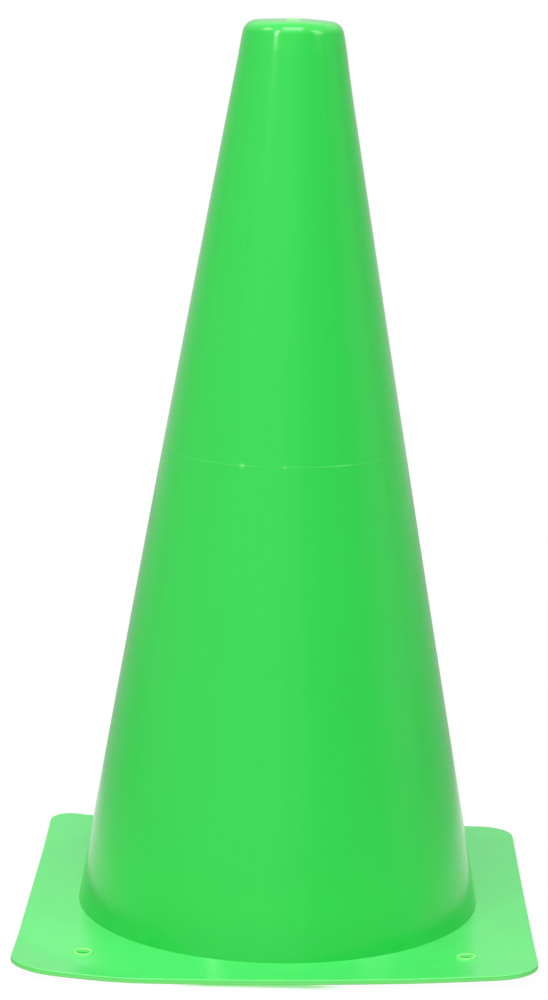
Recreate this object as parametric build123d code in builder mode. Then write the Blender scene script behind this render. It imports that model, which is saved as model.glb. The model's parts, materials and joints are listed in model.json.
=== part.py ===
from build123d import *
import math
import os

# Sports marker cone: a thin plastic moulding, hollow and open below, on a square base with four peg holes.
# Millimetres, +Z up, origin at the centre of the underside, where the cone stands on the ground.
# The regions of the moulding are separate solids that meet face to face.

# Overall sizes: a 15 inch cone on an 8.5 inch base
overall_height = 381.0  # ground to the flat of the crown
base_width = 216.0  # over the edges of the square base

# Cone
flange_margin = 21.0  # from the foot of the straight side to the middle of an edge of the base
crown_diameter = 40.0  # the straight side carried up to the flat of the crown
crown_edge_radius = 5.5  # outside rounding from the straight side to the flat
wall_thickness = 1.8

# Gate nub
gate_diameter = 5.8
gate_height = 0.8
gate_draft = 20.0  # degrees
gate_bevel = 0.25

# Foot
foot_height = 6.0
root_height = 0.6  # of the fillet between the wall and the base
root_flare = 0.3  # how far the toe of that fillet stands outside the straight side

# Base flange
flange_thickness = 2.2
base_corner_radius = 12.5
flange_bevel = 0.5
mouth_bevel = 0.8  # on the lower edge of the mouth, to guide the next cone in

# Peg holes
hole_inset = 29.0  # from both edges of the corner
hole_diameter = 6.0
rim_width = 1.25
rim_height = 0.9
rim_bevel = 0.35

# Worked out from the sizes above
foot_diameter = base_width - 2 * flange_margin  # the straight side carried down to the ground
taper = (foot_diameter - crown_diameter) / 2 / overall_height  # radius lost for each millimetre of height
lean = math.degrees(math.atan(taper))  # of the straight side, from upright
wall_run = wall_thickness * math.hypot(1, taper)  # the wall's thickness, measured level
flat_radius = crown_diameter / 2 - crown_edge_radius * math.tan(math.radians(45 - lean / 2))
gate_top = overall_height + gate_height
gate_top_radius = gate_diameter / 2 - gate_height * math.tan(math.radians(gate_draft))
foot_level = flange_thickness + foot_height
root_level = flange_thickness + root_height
hole_spacing = base_width - 2 * hole_inset


def outside(height):
    """The point of the straight side's outer face at a height, in the XZ plane."""
    return (foot_diameter / 2 - taper * height, height)


def inside(height):
    """The point of the straight side's inner face at a height, in the XZ plane."""
    return (foot_diameter / 2 - taper * height - wall_run, height)


os.makedirs("parts", exist_ok=True)

# Crown: the flat that closes the top
with BuildPart() as crown:
    with BuildSketch(Plane.XY.offset(overall_height)):
        Circle(flat_radius)
    extrude(amount=-wall_thickness)
crown.part.label = "crown"
export_step(crown.part, "parts/crown.step")

# Gate nub: the stub in the middle of the crown where the plastic was fed in
with BuildPart() as gate_nub:
    with BuildSketch(Plane.XZ):
        with BuildLine():
            Polyline(
                (0, overall_height),
                (gate_diameter / 2, overall_height),
                (gate_top_radius, gate_top),
                (0, gate_top),
                close=True,
            )
        make_face()
        chamfer(vertices().group_by(Axis.Y)[-1].sort_by(Axis.X)[-1], gate_bevel)
    revolve(axis=Axis.Z)
gate_nub.part.label = "gate_nub"
export_step(gate_nub.part, "parts/gate_nub.step")

# Cone wall: from the foot up to the crown, with one centre for both faces of the rounded shoulder
shoulder_centre = (flat_radius, overall_height - crown_edge_radius)
with BuildPart() as cone_wall:
    with BuildSketch(Plane.XZ):
        with BuildLine():
            outer_round = CenterArc(shoulder_centre, crown_edge_radius, lean, 90 - lean)
            inner_round = CenterArc(shoulder_centre, crown_edge_radius - wall_thickness, lean, 90 - lean)
            Line(outer_round @ 1, inner_round @ 1)
            Polyline(inner_round @ 0, inside(foot_level), outside(foot_level), outer_round @ 0)
        make_face()
    revolve(axis=Axis.Z)
cone_wall.part.label = "cone_wall"
export_step(cone_wall.part, "parts/cone_wall.step")

# Foot ring: the lowest part of the wall, with a small fillet that ends in a crisp toe on the base
toe = (outside(flange_thickness)[0] + root_flare, flange_thickness)
with BuildPart() as foot_ring:
    with BuildSketch(Plane.XZ):
        with BuildLine():
            TangentArc(outside(root_level), toe, tangent=(taper, -1))
            Polyline(toe, inside(flange_thickness), inside(foot_level), outside(foot_level), outside(root_level))
        make_face()
    revolve(axis=Axis.Z)
foot_ring.part.label = "foot_ring"
export_step(foot_ring.part, "parts/foot_ring.step")

# Base flange: a thin square with bevelled edges, open in the middle where the next cone nests
with BuildPart() as base_flange:
    with BuildSketch():
        RectangleRounded(base_width, base_width, base_corner_radius)
    extrude(amount=flange_thickness)
    chamfer(base_flange.edges().filter_by(Axis.Z, reverse=True), flange_bevel)
    with BuildSketch(Plane.XZ):
        with BuildLine():
            Polyline((0, 0), inside(0), inside(flange_thickness), (0, flange_thickness), close=True)
        make_face()
    revolve(axis=Axis.Z, mode=Mode.SUBTRACT)
    mouth = base_flange.edges().filter_by(GeomType.CIRCLE).group_by(Axis.Z)[0].sort_by(SortBy.RADIUS)[-1]
    chamfer(mouth, mouth_bevel)
    with Locations((0, 0, flange_thickness)):
        with GridLocations(hole_spacing, hole_spacing, 2, 2):
            Hole(hole_diameter / 2)
base_flange.part.label = "base_flange"
export_step(base_flange.part, "parts/base_flange.step")

# Hole rims: a raised ring with bevelled edges round each peg hole
with BuildPart() as hole_rims:
    with BuildSketch(Plane.XY.offset(flange_thickness)):
        with GridLocations(hole_spacing, hole_spacing, 2, 2):
            Circle(hole_diameter / 2 + rim_width)
            Circle(hole_diameter / 2, mode=Mode.SUBTRACT)
    extrude(amount=rim_height)
    chamfer(hole_rims.edges().group_by(Axis.Z)[-1], rim_bevel)
hole_rims.part.label = "hole_rims"
export_step(hole_rims.part, "parts/hole_rims.step")
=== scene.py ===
import json
import math

import bpy
from mathutils import Matrix, Vector
from mathutils.geometry import delaunay_2d_cdt


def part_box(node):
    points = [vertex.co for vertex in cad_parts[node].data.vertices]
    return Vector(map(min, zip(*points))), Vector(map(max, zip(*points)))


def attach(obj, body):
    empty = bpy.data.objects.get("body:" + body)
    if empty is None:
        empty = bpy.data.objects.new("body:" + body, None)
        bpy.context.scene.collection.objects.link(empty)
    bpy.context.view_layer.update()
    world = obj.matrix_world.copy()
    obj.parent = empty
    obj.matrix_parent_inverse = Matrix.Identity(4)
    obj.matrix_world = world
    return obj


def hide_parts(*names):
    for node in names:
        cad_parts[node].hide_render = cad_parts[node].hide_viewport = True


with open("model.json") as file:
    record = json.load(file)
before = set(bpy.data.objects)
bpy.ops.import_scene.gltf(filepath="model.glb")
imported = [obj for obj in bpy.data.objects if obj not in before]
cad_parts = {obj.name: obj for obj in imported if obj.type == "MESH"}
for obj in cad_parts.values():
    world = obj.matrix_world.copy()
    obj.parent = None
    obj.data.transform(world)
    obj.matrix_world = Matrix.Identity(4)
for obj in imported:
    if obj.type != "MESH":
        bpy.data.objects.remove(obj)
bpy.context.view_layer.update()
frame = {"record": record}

# The looks of a sports marker cone: one thin moulding of glossy green plastic on a square base.
# Metres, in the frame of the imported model: +Z up, origin at the centre of the underside, and the
# front towards -Y.

scene = bpy.context.scene
MM = 0.001
HOLE_SHRINK = 0.3 * MM  # the soft plastic has closed in a little round the peg holes

# Sizes that the frame gives
crown_low, crown_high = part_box("crown")
wall_low, wall_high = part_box("cone_wall")
base_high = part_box("base_flange")[1]
rim_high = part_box("hole_rims")[1]
nub_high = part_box("gate_nub")[1]
pegs = next(mount["dims"] for mount in frame["record"]["mounts"] if mount["name"] == "peg_holes")

top = crown_high.z
flat_radius = crown_high.x
wall = crown_high.z - crown_low.z
foot_level = wall_low.z
foot_radius = wall_high.x  # of the straight side, at the foot level
plate_top = base_high.z
plate_half = base_high.x
hole_radius = pegs["hole_r_mm"] * MM - HOLE_SHRINK
hole_offset = pegs["spacing_x_mm"] * MM / 2
rim_radius = rim_high.x - hole_offset
rim_top = rim_high.z
stub_radius = nub_high.x
stub_top = nub_high.z

# Roundings of the moulding
SHOULDER_RADIUS = 5.5 * MM
PLATE_CORNER = 12.5 * MM  # as moulded
PLATE_EDGE = 0.42 * MM
MOUTH_EDGE = 0.8 * MM
HOLE_EDGE = 0.3 * MM
RIM_EDGE = 0.55 * MM
RIM_FILLET = 0.3 * MM

# The gate stub: the steps of its section as shares of its radius and height, and the share of its
# height that it lacks at the front and the back
STUB_STEPS = ((1.25, 0), (1.12, 0.3), (0.95, 0.75), (0.75, 1), (0.4, 0.85), (0, 0.7))
STUB_UNEVEN = 0.3

# The fine line that the mould left round the cone, and two specks of flash on it
LINE_HEIGHT = 202.3 * MM
LINE_WIDTH = 0.7 * MM
LINE_DEPTH = 0.1 * MM
LINE_LEVEL = 0.6  # its mean strength
LINE_WAVES = ((0.25, 5, 0.7), (0.15, 17, 2.1))  # strength, number round the cone, phase
SPECKS = (  # degrees from the front to the right, size, strength
    (-18.8, 1.25 * MM, 0.55),
    (1.2, 0.95 * MM, 0.28),
)
SPECK_DEPTH = 0.12 * MM
SPECK_FALL = 2  # how fast a speck falls off over its size
SPECK_CLEAR = 3.2 * MM  # round each speck the mesh has closer points of its own
FRONT_WAY = 270  # degrees from +X to the front

# The set of the soft plastic: the axis bends a little, the top softens and the base warps
BEND_TOP = 0.75 * MM  # sideways at the crown
BEND_NODE = 0.72  # share of the height at which the axis is back over its foot
SOFT_REACH, SOFT_DEPTH = 11.7 * MM, 0.27 * MM  # below the crown the wall turns in early
SOFT_START = 0.08  # share of that reach over which the turn sets in
SAG_DEPTH = 0.45 * MM  # the right side of the crown has sagged
SAG_FADE = 25 * MM  # below the crown
SPREAD_LEFT = (0.22 * MM, 14 * MM)  # of the shoulder, and how far below the crown it fades out
SPREAD_RIGHT = (0.5 * MM, 30 * MM)
SIDE_REACH = (4 * MM, 18 * MM)  # sideways from the axis, from no sag and spread to all of them
SET_CORNERS = (14.5 * MM, 11 * MM, 19 * MM, 16.8 * MM)  # roundings, anticlockwise from back right
CURLS = (  # direction of the corner in degrees, height of its curl, where it starts from the axis
    (225, 3.7 * MM, 119.5 * MM),
    (315, 4.95 * MM, 88.4 * MM),
    (135, 2.88 * MM, 118.7 * MM),
)
CURL_START = 0.5  # share of its way over which a curl sets in
CURL_TURN = math.pi / 8  # half the angle over which it fades out between two corners
CURL_DRAW = 2 / 3  # of the squared rise over the run: what a bent sheet is drawn in by
corner_reach = plate_half * math.sqrt(2) - PLATE_CORNER * (math.sqrt(2) - 1)

# Fineness of the meshes
COLUMNS = 240
WALL_ROW = 9 * MM
LINE_ROWS = 4  # above and below the mould line, as far as it is wide
SPECK_ROWS, SPECK_PARTS = range(2, 7), 7  # beyond those, in parts of the specks' clear space
SPECK_COLUMNS, SPECK_FINE = 6, 3  # on each side of a speck, and how many its size takes
SOFT_ROWS = 16  # over the reach in which the wall turns in; its upper half is the shoulder's
CROWN_RINGS, CEILING_RINGS = (0.75, 0.5, 0.25, 0), (0, 0.5)  # shares of the crown's flat radius
INNER_SKIP = 4  # the inside has every fourth row
ROUND_STEPS = 10
EDGE_STEPS = 4
CORNER_STEPS = 14
SIDE_STEPS = 44
HOLE_COLUMNS = 48
PLATE_GRID = 4 * MM
SHARP = math.radians(38)
TINY = 1e-9  # a radius below this is the axis
MERGE = 1e-8  # points of the plate closer than this are one
TOUCH = 0.1 * MM  # nearer than this to the mouth is on its edge


# Curves of the sections

def arc(centre, radius, start, end, steps):
    """Points of an arc between two angles in degrees, both ends included."""
    angles = [math.radians(start + (end - start) * step / steps) for step in range(steps + 1)]
    return [(centre[0] + radius * math.cos(a), centre[1] + radius * math.sin(a)) for a in angles]


# The straight side runs from the foot level to the rounded shoulder, and touches its circle
shoulder = (flat_radius, top - SHOULDER_RADIUS)
run, rise = shoulder[0] - foot_radius, shoulder[1] - foot_level
lean = math.atan2(rise, run) - math.acos(-SHOULDER_RADIUS / math.hypot(run, rise))
wall_run = wall / math.cos(lean)  # the wall's thickness, measured level


def outside(height):
    """The outer face of the straight side at a height, as radius and height."""
    return (foot_radius - (height - foot_level) * math.tan(lean), height)


def inside(height):
    """The inner face, likewise."""
    return (outside(height)[0] - wall_run, height)


# The set of the plastic

def smooth(value, low, high):
    """A smooth step from 0 at low to 1 at high."""
    share = max(0.0, min(1.0, (value - low) / (high - low)))
    return share * share * (3 - 2 * share)


def eased(share, start):
    """A rise with the share of a way, from 0 to 1, that sets in over the first part of it."""
    return share * share * (1 + start) / (share + start)


def bend(height):
    """How far the axis stands to the side at a height."""
    share = height / top
    return BEND_TOP * share * (share - BEND_NODE) / (1 - BEND_NODE)


def settle(x, y, z):
    """A point of the cone as set: bent, turned in below the crown, sagged on the right, spread."""
    radius = math.hypot(x, y)
    turned_in = SOFT_DEPTH * eased(max(0.0, 1 - (top - z) / SOFT_REACH), SOFT_START)
    kept = 1 - min(radius, turned_in) / radius if radius else 1
    sag = SAG_DEPTH * smooth(x, *SIDE_REACH) * smooth(z, top - SAG_FADE, top)
    spread, fade = SPREAD_RIGHT if x > 0 else SPREAD_LEFT
    spread *= smooth(abs(x), *SIDE_REACH) * smooth(z, top - fade, top - SHOULDER_RADIUS)
    return x * kept + bend(z) + math.copysign(spread, x), y * kept, z - sag


def curl(x, y, z):
    """A point of the base as set: each corner is lifted, fading to the next, and so drawn in."""
    radius, lift, drawn = math.hypot(x, y), 0.0, 0.0
    for direction, height, start in CURLS:
        away = abs(math.remainder(math.atan2(y, x) - math.radians(direction), 2 * math.pi))
        fade = max(-1.0, min(1.0, (away - math.pi / 4) / CURL_TURN))
        share = max(0.0, (radius - start) / (corner_reach - start))
        raised = height * eased(share, CURL_START) * (0.5 - 0.5 * math.sin(fade * math.pi / 2))
        lift += raised
        if share:
            drawn += CURL_DRAW * raised * raised / (radius - start)
    return x * (1 - drawn / radius), y * (1 - drawn / radius), z + lift


# Meshes

def turned(profile, angles):
    """Points and faces of a closed section of (radius, height) turned about the Z axis."""
    points, rings, faces = [], [], []
    for radius, height in profile:
        first = len(points)
        if radius < TINY:
            points.append((0.0, 0.0, height))
            rings.append([first] * len(angles))
        else:
            points += [(radius * math.cos(a), radius * math.sin(a), height) for a in angles]
            rings.append(list(range(first, first + len(angles))))
    for lower, upper in zip(rings, rings[1:] + rings[:1]):
        faces += band(lower, upper)
    return points, faces


def band(lower, upper):
    """Faces between two closed rings of points; a ring of one repeated point gives triangles."""
    faces = []
    for i in range(len(lower)):
        j = (i + 1) % len(lower)
        corners = list(dict.fromkeys((lower[i], lower[j], upper[j], upper[i])))
        if len(corners) > 2:
            faces.append(corners)
    return faces


def add_piece(name, points, faces, pale, material, *nodes):
    """A smooth piece in place of CAD nodes, with how pale each of its points is."""
    mesh = bpy.data.meshes.new(name)
    mesh.from_pydata(points, [], faces)
    mesh.polygons.foreach_set("use_smooth", [True] * len(faces))
    mesh.set_sharp_from_angle(angle=SHARP)
    mesh.attributes.new("pale", "FLOAT", "POINT").data.foreach_set("value", pale)
    mesh.materials.append(material)
    piece = bpy.data.objects.new(name, mesh)
    scene.collection.objects.link(piece)
    piece.modifiers.new("Even shading", "WEIGHTED_NORMAL").keep_sharp = True
    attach(piece, "root")
    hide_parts(*nodes)


def turned_angles(columns):
    """Even angles round the axis."""
    return [2 * math.pi * column / columns for column in range(columns)]


def cone_angles():
    """Even columns round the cone, with closer ones at the specks of flash."""
    radius = outside(LINE_HEIGHT)[0]
    angles = turned_angles(COLUMNS)
    for direction, size, _ in SPECKS:
        middle = math.radians(direction + FRONT_WAY)
        steps = range(-SPECK_COLUMNS, SPECK_COLUMNS + 1)
        near = [middle + size / radius * step / SPECK_FINE for step in steps]
        angles = [a for a in angles if abs(a - middle) > SPECK_CLEAR / radius] + near
    return sorted(angles)


def line_strength(angle, height):
    """The mould line at a point of the side, from 0 to about 1: uneven round the cone."""
    across = 1 - abs(height - LINE_HEIGHT) / (LINE_WIDTH / 2)
    waves = sum(share * math.sin(count * angle + phase) for share, count, phase in LINE_WAVES)
    return (LINE_LEVEL + waves) * smooth(across, 0, 1)


def speck_strength(angle, height):
    """The specks of flash at a point of the side, from 0 to the strength of each."""
    radius = outside(LINE_HEIGHT)[0]
    total = 0.0
    for direction, size, strength in SPECKS:
        turn = math.remainder(angle - math.radians(direction + FRONT_WAY), 2 * math.pi)
        apart = math.hypot(turn * radius, height - LINE_HEIGHT) / size
        total += strength * math.exp(-SPECK_FALL * apart * apart)
    return total


def side_rows(end):
    """Heights of the rows up the straight side, closer at the mould line and near the end."""
    rows = round((end - plate_top) / WALL_ROW)
    heights = [plate_top + (end - plate_top) * row / rows for row in range(rows)]
    heights = [h for h in heights if abs(h - LINE_HEIGHT) > SPECK_CLEAR]
    for step in range(-LINE_ROWS, LINE_ROWS + 1):
        heights.append(LINE_HEIGHT + LINE_WIDTH * step / LINE_ROWS)
    for step in SPECK_ROWS:
        away = SPECK_CLEAR * step / SPECK_PARTS
        heights += [LINE_HEIGHT - away, LINE_HEIGHT + away]
    for step in range(SOFT_ROWS // 2, SOFT_ROWS + 1):
        heights.append(top - SOFT_REACH * step / SOFT_ROWS)
    return sorted(heights)


def cone_shell(material):
    """The thin wall with its rounded shoulder and flat crown, closed inside and out."""
    outer_round = arc(shoulder, SHOULDER_RADIUS, math.degrees(lean), 90, ROUND_STEPS)
    inner_round = arc(shoulder, SHOULDER_RADIUS - wall, 90, math.degrees(lean), ROUND_STEPS)
    heights = side_rows(outer_round[0][1])
    profile = [outside(h) for h in heights]
    profile += outer_round
    profile += [(flat_radius * share, top) for share in CROWN_RINGS]
    profile += [(flat_radius * share, top - wall) for share in CEILING_RINGS]
    profile += inner_round
    profile += [inside(h) for h in reversed(heights[::INNER_SKIP])]
    points, faces = turned(profile, cone_angles())
    placed, pale = [], []
    for x, y, z in points:
        radius, angle = math.hypot(x, y), math.atan2(y, x)
        line = speck = 0.0
        if radius > inside(z)[0] + wall_run / 2:
            line, speck = line_strength(angle, z), speck_strength(angle, z)
        grown = radius + LINE_DEPTH * line + SPECK_DEPTH * speck
        placed.append(settle(grown * math.cos(angle), grown * math.sin(angle), z))
        pale.append(min(1.0, LINE_PALE * line + speck))
    add_piece("cone_shell", placed, faces, pale, material, "cone_wall", "crown", "foot_ring")


def gate_stub(material):
    """The low stub on the middle of the crown, with soft sides and a broken, hollow top."""
    profile = [(0, top)]
    profile += [(stub_radius * out, top + (stub_top - top) * up) for out, up in STUB_STEPS]
    points, faces = turned(profile, turned_angles(HOLE_COLUMNS))
    pale = [PROUD_PALE if z > top else LOW_PALE for x, y, z in points]
    placed = []
    for x, y, z in points:
        kept = 1 - STUB_UNEVEN * (y / stub_radius) ** 2
        placed.append(settle(x, y, top + (z - top) * max(0.0, kept)))
    add_piece("gate_stub", placed, faces, pale, material, "gate_nub")


def square_loop(half, corners):
    """A rounded square, anticlockwise, as points with their outward directions."""
    loop = []
    for quarter, corner in enumerate(corners):
        middle = math.radians(90 * quarter + 45)
        signs = (math.cos(middle), math.sin(middle))
        centre = [math.copysign(half - corner, sign) for sign in signs]
        for step in range(CORNER_STEPS + 1):
            a = math.radians(90 * quarter + 90 * step / CORNER_STEPS)
            out = (math.cos(a), math.sin(a))
            loop.append((centre[0] + corner * out[0], centre[1] + corner * out[1], *out))
        x, y, out_x, out_y = loop[-1]
        for step in range(1, SIDE_STEPS):
            along = (2 * half - corner - corners[(quarter + 1) % 4]) * step / SIDE_STEPS
            loop.append((x - out_y * along, y + out_x * along, out_x, out_y))
    return loop


def hole_loop(centre, radius, angles):
    """A round opening, clockwise, as points with their directions away from the plastic."""
    loop = []
    for a in reversed(angles):
        out = (-math.cos(a), -math.sin(a))
        loop.append((centre[0] - radius * out[0], centre[1] - radius * out[1], *out))
    return loop


def hole_centres():
    """The middles of the four peg holes."""
    return [(x, y) for x in (-hole_offset, hole_offset) for y in (-hole_offset, hole_offset)]


def rounded_edge(size):
    """Steps of a rounded edge from the upper face to the lower one: how far out, and how high."""
    upper = arc((0, plate_top - size), size, 90, 0, EDGE_STEPS)
    lower = arc((0, size), size, 0, -90, EDGE_STEPS)
    return (upper + lower)[1:-1]


def mouth_edge():
    """The same for the mouth, which carries on the cone's inside down to a rounded lower edge."""
    opening = inside(plate_top)[0] - inside(0)[0]
    lower = arc((opening - MOUTH_EDGE, MOUTH_EDGE), MOUTH_EDGE, 0, -90, EDGE_STEPS)
    return lower[:-1]


def plate_sheet(loops, angles, small, mouth):
    """Points and triangles of the flat plate, and the point that each point of the loops became."""
    foot = outside(plate_top)[0]
    inner = [(foot * math.cos(a), foot * math.sin(a)) for a in angles]
    for x, y in hole_centres():
        inner += [(x + rim_radius * math.cos(a), y + rim_radius * math.sin(a)) for a in small]
    inner += grid_points()
    flat, links = [], []
    for loop in loops:
        first = len(flat)
        flat += [Vector(point[:2]) for point in loop]
        links += [(first + i, first + (i + 1) % len(loop)) for i in range(len(loop))]
    flat += [Vector(point) for point in inner]
    places, _, triangles, origins, _, _ = delaunay_2d_cdt(flat, links, [], 0, MERGE)
    found = {origin: index for index, group in enumerate(origins) for origin in group}
    kept = [three for three in triangles if in_plastic([places[c] for c in three], mouth)]
    return places, kept, found


def base_plate(material):
    """The thin square base: two sheets, joined round the outside, the mouth and the peg holes."""
    angles, small = cone_angles(), turned_angles(HOLE_COLUMNS)
    mouth = inside(plate_top)[0]
    corners = [corner - PLATE_EDGE for corner in SET_CORNERS]
    loops = [square_loop(plate_half - PLATE_EDGE, corners), hole_loop((0, 0), mouth, angles)]
    loops += [hole_loop(centre, hole_radius, small) for centre in hole_centres()]
    edges = [rounded_edge(PLATE_EDGE), mouth_edge()]
    edges += [rounded_edge(HOLE_EDGE)] * len(hole_centres())
    places, triangles, found = plate_sheet(loops, angles, small, mouth)

    count = len(places)
    points = [(p.x, p.y, plate_top) for p in places] + [(p.x, p.y, 0.0) for p in places]
    faces = [list(three) for three in triangles]
    faces += [[count + corner for corner in reversed(three)] for three in triangles]
    first = 0
    for loop, edge in zip(loops, edges):
        upper = [found[first + i] for i in range(len(loop))]
        lower = [count + index for index in upper]
        first += len(loop)
        rings = [upper]
        for out, height in edge:
            start = len(points)
            points += [(x + out * out_x, y + out * out_y, height) for x, y, out_x, out_y in loop]
            rings.append(list(range(start, start + len(loop))))
        rings.append(lower)
        for above, below in zip(rings, rings[1:]):
            faces += band(below, above)

    lower_mouth = inside(0)[0] + MOUTH_EDGE
    outer_edge = range(2 * count, 2 * count + len(edges[0]) * len(loops[0]))
    pale = [0.0] * len(points)
    for index, (x, y, z) in enumerate(points):
        radius = math.hypot(x, y)
        if count <= index < 2 * count and radius < mouth + TOUCH:
            points[index] = (x * lower_mouth / radius, y * lower_mouth / radius, z)
        # painted glow along the outer edge, growing towards its lower side
        if index in outer_edge:
            pale[index] = EDGE_GLOW[0] + (EDGE_GLOW[1] - EDGE_GLOW[0]) * (1 - z / plate_top)
    placed = [curl(*point) for point in points]
    add_piece("base_plate", placed, faces, pale, material, "base_flange")


def grid_points():
    """Even points over the plate, clear of its edges, of the foot and of the holes."""
    back_right, back_left, front_left, front_right = SET_CORNERS
    steps = int(plate_half / PLATE_GRID)
    clear = PLATE_GRID / 2
    points = []
    for i in range(-steps, steps + 1):
        for j in range(-steps, steps + 1):
            x, y = i * PLATE_GRID, j * PLATE_GRID
            if y > 0:
                corner = back_right if x > 0 else back_left
            else:
                corner = front_right if x > 0 else front_left
            past = [max(0.0, abs(v) - (plate_half - corner)) for v in (x, y)]
            in_square = math.hypot(*past) < corner - clear
            off_foot = math.hypot(x, y) > outside(plate_top)[0] + clear
            off_holes = all(math.dist((x, y), c) > rim_radius + clear for c in hole_centres())
            if in_square and off_foot and off_holes:
                points.append((x, y))
    return points


def in_plastic(corners, mouth):
    """True for a triangle of the plate that lies in none of its openings."""
    middle = sum(corners, Vector((0, 0))) / 3
    in_hole = any(math.dist(middle, centre) < hole_radius for centre in hole_centres())
    return middle.length > mouth and not in_hole


def hole_rim(name, centre, material):
    """The raised ring round a peg hole, rounded on top and filleted to the base."""
    top_outer = (rim_radius - RIM_EDGE, rim_top - RIM_EDGE)
    top_inner = (hole_radius + RIM_EDGE, rim_top - RIM_EDGE)
    fillet = (rim_radius + RIM_FILLET, plate_top + RIM_FILLET)
    profile = arc(fillet, RIM_FILLET, 270, 180, EDGE_STEPS)
    profile += arc(top_outer, RIM_EDGE, 0, 90, EDGE_STEPS)
    profile += arc(top_inner, RIM_EDGE, 90, 180, EDGE_STEPS)
    profile += [(hole_radius, plate_top)]
    points, faces = turned(profile, turned_angles(HOLE_COLUMNS))
    placed = [curl(x + centre[0], y + centre[1], z) for x, y, z in points]
    # painted glow of light on the rim's raised top
    pale = [PROUD_PALE if z > plate_top + RIM_FILLET else LOW_PALE for x, y, z in points]
    add_piece(name, placed, faces, pale, material, "hole_rims")


# Materials

SIDE_GREENS = (0.011, 0.62, 0.055, 1), (0.016, 0.66, 0.066, 1)  # deep and light, over the hollow
BASE_GREENS = (0.071, 0.73, 0.143, 1), (0.083, 0.775, 0.158, 1)  # lighter and whiter: painted light of the white floor coming through the thin base
FOOT_SHADE_GREEN = (0.009, 0.5, 0.06, 1)  # painted shade: the side darkens towards the foot, where the base meets it
FOOT_SHADE_HEIGHTS, FOOT_SHADE_SHARE = (-4 * MM, 28 * MM), 0.7  # heights, and the share of it at the lower one
PALE_GREEN = (0.24, 0.9, 0.205, 1)  # of flash, and of the painted glow of light through thin edges
LINE_PALE = 0.2  # share of it on the mould line
EDGE_GLOW = (0.2, 1.0)  # painted glow of light through the base's edge, at the upper and the lower side
PROUD_PALE, LOW_PALE = 1.0, 0.3  # on the stub and the rims, above and at their foot; on the rims it is a painted glow
SIDE_GLOSS, BASE_GLOSS = (0.14, 0.18), (0.21, 0.25)  # roughness, from and to
GLOSS_SPAN = (0.3, 0.7)  # of the streaks, over which the roughness runs
STREAKS = {"Scale": 14, "Detail": 2, "Roughness": 0.45}
CLOUDS = {"Scale": 22, "Detail": 3}
GRAIN = {"Scale": 1400, "Detail": 2}
BASE_FLOW = 12  # how much finer the streaks are on the base
CLOUD_SHARE = 0.5  # of the clouds in the tint, beside the streaks
STREAK_RELIEF = 3.0  # height of the streaks against the grain
BUMP_STRENGTH, BUMP_DEPTH = 0.2, 0.008 * MM
PLASTIC_IOR = 1.5


def node(tree, kind, settings=None, **inputs):
    """A shader node with its settings, and its inputs given as values or as sockets to link."""
    made = tree.nodes.new(kind)
    for key, value in (settings or {}).items():
        setattr(made, key, value)
    for key, value in inputs.items():
        socket = made.inputs[int(key[1:]) if key[0] == "_" else key.replace("_", " ")]
        if isinstance(value, bpy.types.NodeSocket):
            tree.links.new(value, socket)
        else:
            socket.default_value = value
    return made


def maths(tree, operation, *values):
    """The result of a sum on numbers or sockets."""
    inputs = {f"_{place}": value for place, value in enumerate(values)}
    return node(tree, "ShaderNodeMath", {"operation": operation}, **inputs).outputs[0]


def vector_maths(tree, operation, **inputs):
    """The outputs of a sum on vectors."""
    return node(tree, "ShaderNodeVectorMath", {"operation": operation}, **inputs).outputs


def mix_numbers(tree, share, first, second):
    """A number between two, by the share of the second."""
    settings = {"data_type": "FLOAT"}
    return node(tree, "ShaderNodeMix", settings, _0=share, _2=first, _3=second).outputs[0]


def mix_colours(tree, share, first, second):
    """A colour between two, by the share of the second."""
    settings = {"data_type": "RGBA"}
    return node(tree, "ShaderNodeMix", settings, _0=share, _6=first, _7=second).outputs[2]


def ramp(tree, value, low, high, start, end, kind="SMOOTHSTEP"):
    """A step of a value, from start where it is low to end where it is high."""
    return node(tree, "ShaderNodeMapRange", {"interpolation_type": kind}, Value=value,
                From_Min=low, From_Max=high, To_Min=start, To_Max=end).outputs["Result"]


def noise(tree, place, look):
    """A noise pattern over a place."""
    return node(tree, "ShaderNodeTexNoise", Vector=place, **look).outputs["Fac"]


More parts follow.
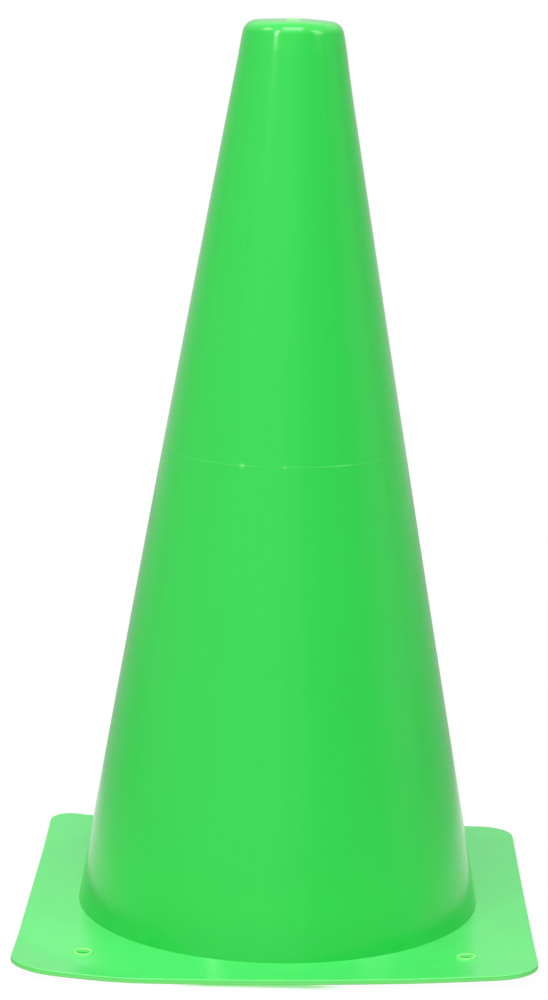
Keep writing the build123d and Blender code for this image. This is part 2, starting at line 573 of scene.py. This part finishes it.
def moulded_plastic(name, greens, gloss, streaked):
    """Glossy polyethylene with faint flow streaks, a fine grain, paler flash and stub, and a
    painted glow on thin edges and rims. On the cone the streaks run up the side, along the draw of
    the mould, and painted shade darkens its foot."""
    material = bpy.data.materials.new(name)
    material.use_nodes = True
    tree = material.node_tree
    shader = tree.nodes["Principled BSDF"]
    place = node(tree, "ShaderNodeTexCoord").outputs["Object"]
    parts = node(tree, "ShaderNodeSeparateXYZ", Vector=place).outputs
    if streaked:
        level = node(tree, "ShaderNodeCombineXYZ", X=parts["X"], Y=parts["Y"]).outputs["Vector"]
        round_axis = vector_maths(tree, "NORMALIZE", _0=level)["Vector"]
        lifted = node(tree, "ShaderNodeCombineXYZ", Z=parts["Z"]).outputs["Vector"]
        flow = vector_maths(tree, "ADD", _0=round_axis, _1=lifted)["Vector"]
    else:
        flow = vector_maths(tree, "SCALE", _0=place, Scale=BASE_FLOW)["Vector"]
    streaks = noise(tree, flow, STREAKS)

    varied = mix_numbers(tree, CLOUD_SHARE, streaks, noise(tree, place, CLOUDS))
    tint = mix_colours(tree, varied, *greens)
    if streaked:
        # painted shade: the side darkens towards the foot of the cone
        deep = ramp(tree, parts["Z"], *FOOT_SHADE_HEIGHTS, FOOT_SHADE_SHARE, 0.0)
        tint = mix_colours(tree, deep, tint, FOOT_SHADE_GREEN)
    # paler where the points say so: flash and stub, and the painted glow on thin edges and rims
    pale = node(tree, "ShaderNodeAttribute", {"attribute_name": "pale"}).outputs["Fac"]
    tree.links.new(mix_colours(tree, pale, tint, PALE_GREEN), shader.inputs["Base Color"])

    rough = ramp(tree, streaks, *GLOSS_SPAN, *gloss, kind="LINEAR")
    tree.links.new(rough, shader.inputs["Roughness"])
    relief = maths(tree, "MULTIPLY_ADD", streaks, STREAK_RELIEF, noise(tree, place, GRAIN))
    bump = node(tree, "ShaderNodeBump", Strength=BUMP_STRENGTH, Distance=BUMP_DEPTH, Height=relief)
    tree.links.new(bump.outputs["Normal"], shader.inputs["Normal"])
    shader.inputs["IOR"].default_value = PLASTIC_IOR
    return material


# Studio

WHITE = (1, 1, 1, 1)
AMBIENT = 0.425  # of the room, on matt surfaces

# The room as the gloss shows it: level, and more above, to the front left and to both sides
HORIZON, CEILING, WINDOW, SIDES = 0.66, 1.1, 0.5, 0.25
CEILING_REACH = (0.2, 0.75)  # heights of the direction, from none of the ceiling to all of it
WINDOW_WAY, WINDOW_REACH = (-0.52, -0.84, 0.17), (0.45, 0.95)  # and cosines of the angle to it
SIDES_REACH = (0.92, 1.0)  # how far to the side the direction points

FLOOR_HALF, FLOOR_DROP = 1.3, 0.2 * MM
FLOOR_MATT = (0.6, 0.6, 0.6, 1)  # as matt surfaces get its light
FLOOR_SHADED = (0.9, 0.9, 0.9, 1)  # where it takes the shadow
FLOOR_SHADE = 0.03  # share of the floor's look that takes the shadow
SHADE_REACH = (0.25, 0.6)  # distances from the axis between which the shadow fades out

# The floor as the gloss shows it: a painted shadow beside the base, 1 just off it, and less far off
FLOOR_NEAR, FLOOR_SIDE, FLOOR_BACK = 0.3, 0.78, 0.52
NEAR_REACH, FAR_REACH, BACK_REACH = (0.119, 0.157), (0.17, 0.32), (0.0, 0.3)  # where they set in
NEAR_SLANT, NEAR_SHIFT = 0.5, 0.006  # the dark part widens to the front, and lies to the left

# Light through the plastic greens the floor at the middle of the base's front edge
FRINGE_GREEN = (0.3, 0.84, 0.3, 1)
FRINGE_START = (plate_half - 4 * MM, plate_half - 2 * MM)  # to the front, setting in
FRINGE_FRONT, FRINGE_SIDE = (0.1072, 0.1107), (0.018, 0.038)  # to the front and aside, fading out

LAMP_POWER = 4  # watts to a square metre of lamp and a unit of radiance
LAMPS = (  # name, degrees to the right of the front, degrees up, distance, width, height, radiance
    ("front_box", 0, 62, 4.0, 2.6, 2.5, 2.6),
    ("front_core", 0, 66, 3.9, 2.0, 1.0, 3.0),
    ("left_lamp", -38.4, 30.4, 2.0, 0.24, 0.79, 11.5),
    ("left_box", -76, 46, 4.0, 1.0, 1.2, 4.5),
    ("right_box", 62.5, 32, 4.0, 1.3, 1.8, 3.2),
)

CAMERA_PLACE = (0.01524, -1.31299, 0.44186)
CAMERA_YAW, CAMERA_PITCH, CAMERA_ROLL = -0.849, 11.339, -0.880  # degrees right, down, clockwise
CAMERA_LENS, CAMERA_SENSOR = 113.154, 36  # mm, the sensor along the picture's long side


def seen_rays(tree):
    """1 for rays that show the backdrop: from the camera, off a gloss or through glass."""
    path = node(tree, "ShaderNodeLightPath").outputs
    either = maths(tree, "MAXIMUM", path["Is Camera Ray"], path["Is Glossy Ray"])
    return maths(tree, "MAXIMUM", either, path["Is Transmission Ray"])


def make_world():
    """White behind the object. The gloss shows a room, lighter above, front left and aside."""
    world = bpy.data.worlds.new("studio")
    world.use_nodes = True
    tree = world.node_tree
    way = node(tree, "ShaderNodeTexCoord").outputs["Generated"]
    parts = node(tree, "ShaderNodeSeparateXYZ", Vector=way).outputs
    above = ramp(tree, parts["Z"], *CEILING_REACH, HORIZON, HORIZON + CEILING)
    facing = vector_maths(tree, "DOT_PRODUCT", _0=way, _1=WINDOW_WAY)["Value"]
    window = ramp(tree, facing, *WINDOW_REACH, 0.0, WINDOW)
    sides = ramp(tree, maths(tree, "ABSOLUTE", parts["X"]), *SIDES_REACH, 0.0, SIDES)
    room = maths(tree, "ADD", maths(tree, "ADD", above, window), sides)
    camera = node(tree, "ShaderNodeLightPath").outputs["Is Camera Ray"]
    shown = mix_numbers(tree, camera, room, 1.0)
    light = mix_numbers(tree, seen_rays(tree), AMBIENT, shown)
    background = tree.nodes["Background"]
    background.inputs["Color"].default_value = WHITE
    tree.links.new(light, background.inputs["Strength"])
    world.cycles.sampling_method = "NONE"
    scene.world = world


def floor_white():
    """White for the camera with a faint shadow near the object; in the gloss uneven, with a painted
    shadow beside the base.
    """
    material = bpy.data.materials.new("floor_white")
    material.use_nodes = True
    tree = material.node_tree
    tree.nodes.remove(tree.nodes["Principled BSDF"])
    place = node(tree, "ShaderNodeTexCoord").outputs["Object"]
    parts = node(tree, "ShaderNodeSeparateXYZ", Vector=place).outputs
    away = vector_maths(tree, "LENGTH", _0=place)["Value"]
    sideways = maths(tree, "ABSOLUTE", maths(tree, "ADD", parts["X"], NEAR_SHIFT))
    endways = maths(tree, "ABSOLUTE", parts["Y"])
    front = maths(tree, "MULTIPLY", parts["Y"], -1.0)

    slanted = maths(tree, "MULTIPLY_ADD", parts["Y"], NEAR_SLANT, sideways)
    beside = maths(tree, "MAXIMUM", slanted, endways)
    # painted shadow on the floor beside the base, for the gloss only
    near = ramp(tree, beside, *NEAR_REACH, FLOOR_NEAR, 1.0)
    distant = ramp(tree, parts["Y"], *BACK_REACH, FLOOR_SIDE, FLOOR_BACK)
    far = ramp(tree, away, *FAR_REACH, 1.0, distant)
    glossy = node(tree, "ShaderNodeLightPath").outputs["Is Glossy Ray"]
    level = mix_numbers(tree, glossy, 1.0, maths(tree, "MULTIPLY", near, far))

    fringe = ramp(tree, front, *FRINGE_START, 0.0, 1.0)
    fringe = maths(tree, "MULTIPLY", fringe, ramp(tree, front, *FRINGE_FRONT, 1.0, 0.0))
    fringe = maths(tree, "MULTIPLY", fringe, ramp(tree, sideways, *FRINGE_SIDE, 1.0, 0.0))
    tint = mix_colours(tree, fringe, WHITE, FRINGE_GREEN)

    matt = node(tree, "ShaderNodeBsdfDiffuse", Color=FLOOR_MATT).outputs["BSDF"]
    shaded = node(tree, "ShaderNodeBsdfDiffuse", Color=FLOOR_SHADED).outputs["BSDF"]
    plain = node(tree, "ShaderNodeEmission", Color=tint, Strength=level).outputs["Emission"]
    shade = ramp(tree, away, *SHADE_REACH, FLOOR_SHADE, 0.0)
    shown = node(tree, "ShaderNodeMixShader", Fac=shade, _1=plain, _2=shaded).outputs["Shader"]
    either = node(tree, "ShaderNodeMixShader", Fac=seen_rays(tree), _1=matt, _2=shown)
    tree.links.new(either.outputs["Shader"], tree.nodes["Material Output"].inputs["Surface"])
    material.cycles.emission_sampling = "NONE"
    return material


def make_floor():
    """A flat square under the object."""
    corners = [(-1, -1), (1, -1), (1, 1), (-1, 1)]
    mesh = bpy.data.meshes.new("floor")
    mesh.from_pydata([(FLOOR_HALF * x, FLOOR_HALF * y, -FLOOR_DROP) for x, y in corners],
                     [], [(0, 1, 2, 3)])
    mesh.materials.append(floor_white())
    floor = bpy.data.objects.new("floor", mesh)
    scene.collection.objects.link(floor)


def softbox(name, azimuth, elevation, distance, width, height, radiance):
    """A flat lamp that faces the top of the cone."""
    lamp = bpy.data.lights.new(name, "AREA")
    lamp.shape = "RECTANGLE"
    lamp.size, lamp.size_y = width, height
    lamp.energy = LAMP_POWER * radiance * width * height
    a, e = math.radians(azimuth), math.radians(elevation)
    back = Vector((math.sin(a) * math.cos(e), -math.cos(a) * math.cos(e), math.sin(e)))
    box = bpy.data.objects.new(name, lamp)
    box.location = Vector((0, 0, top)) + back * distance
    box.rotation_mode = "QUATERNION"
    box.rotation_quaternion = (-back).to_track_quat("-Z", "Y")
    scene.collection.objects.link(box)


def make_camera():
    """The camera of the photograph."""
    yaw, pitch, roll = (math.radians(a) for a in (CAMERA_YAW, CAMERA_PITCH, CAMERA_ROLL))
    ahead = math.cos(pitch)
    forward = Vector((math.sin(yaw) * ahead, math.cos(yaw) * ahead, -math.sin(pitch)))
    level = Vector((math.cos(yaw), -math.sin(yaw), 0))
    down = forward.cross(level)
    right = level * math.cos(roll) + down * math.sin(roll)
    up = level * math.sin(roll) - down * math.cos(roll)
    data = bpy.data.cameras.new("camera")
    data.lens = CAMERA_LENS
    data.sensor_width = CAMERA_SENSOR
    camera = bpy.data.objects.new("camera", data)
    turn = Matrix((right, up, -forward)).transposed().to_4x4()
    camera.matrix_world = Matrix.Translation(CAMERA_PLACE) @ turn
    scene.collection.objects.link(camera)
    scene.camera = camera


side_plastic = moulded_plastic("side_plastic", SIDE_GREENS, SIDE_GLOSS, streaked=True)
base_plastic = moulded_plastic("base_plastic", BASE_GREENS, BASE_GLOSS, streaked=False)
cone_shell(side_plastic)
gate_stub(base_plastic)
base_plate(base_plastic)
for number, centre in enumerate(hole_centres(), 1):
    hole_rim(f"hole_rim_{number}", centre, base_plastic)

make_world()
make_floor()
for lamp in LAMPS:
    softbox(*lamp)
make_camera()
scene.view_settings.view_transform = "Standard"
